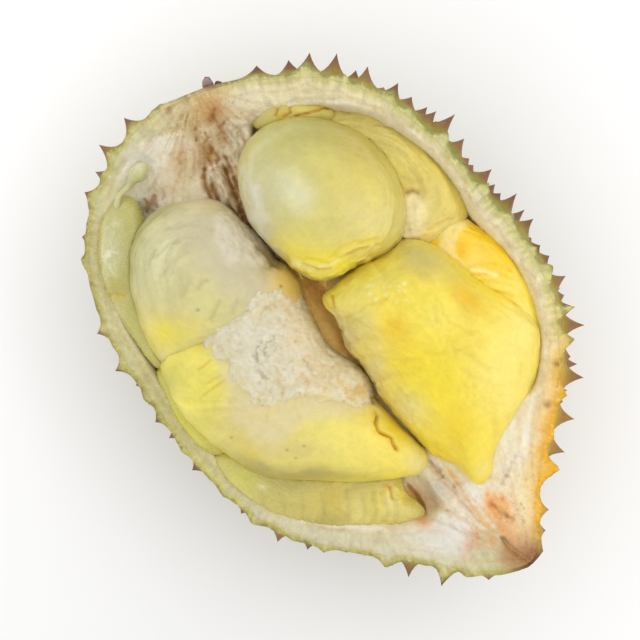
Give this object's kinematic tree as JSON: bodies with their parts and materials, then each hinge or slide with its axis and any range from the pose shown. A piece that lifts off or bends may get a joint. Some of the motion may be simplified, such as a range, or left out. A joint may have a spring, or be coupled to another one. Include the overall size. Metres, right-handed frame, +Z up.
{
  "type": "opened durian half",
  "caption": "Half of an opened durian: a thorny green-brown husk with a dividing wall, holding plump yellow pods of flesh in its two chambers.",
  "frame": {"origin": "on the ground, below the middle of the overall bounding box", "axes": "+X from the stem end to the blossom tip, +Y towards the side whose rim stands higher, +Z up out of the opening"},
  "size_m": [0.2883, 0.2068, 0.1202],
  "materials": {
    "husk": "rough fibrous rind, green-brown thorns, cream pith",
    "khaki_flesh": "moist, softly wrinkled flesh",
    "olive_flesh": "moist, softly wrinkled flesh",
    "yellow_flesh": "moist, softly wrinkled flesh",
    "pale_flesh": "moist, softly wrinkled flesh",
    "pithy_flesh": "moist, softly wrinkled flesh",
    "golden_flesh": "moist, softly wrinkled flesh",
    "glossy_flesh": "moist, softly wrinkled flesh",
    "green_flesh": "moist, softly wrinkled flesh"
  },
  "bodies": {
    "root": {"husk": "husk", "pod_upper_centre": "khaki_flesh", "pod_lower_right": "yellow_flesh", "pod_left_upper": "pale_flesh", "pod_left_lower": "pithy_flesh", "pod_upper_right": "olive_flesh", "pod_right_edge": "golden_flesh", "pod_upper_end": "olive_flesh", "pod_bottom_left": "glossy_flesh", "pod_left_edge": "glossy_flesh", "pod_left_low_edge": "glossy_flesh", "undeveloped_pod": "green_flesh"}
  },
  "joints": []
}
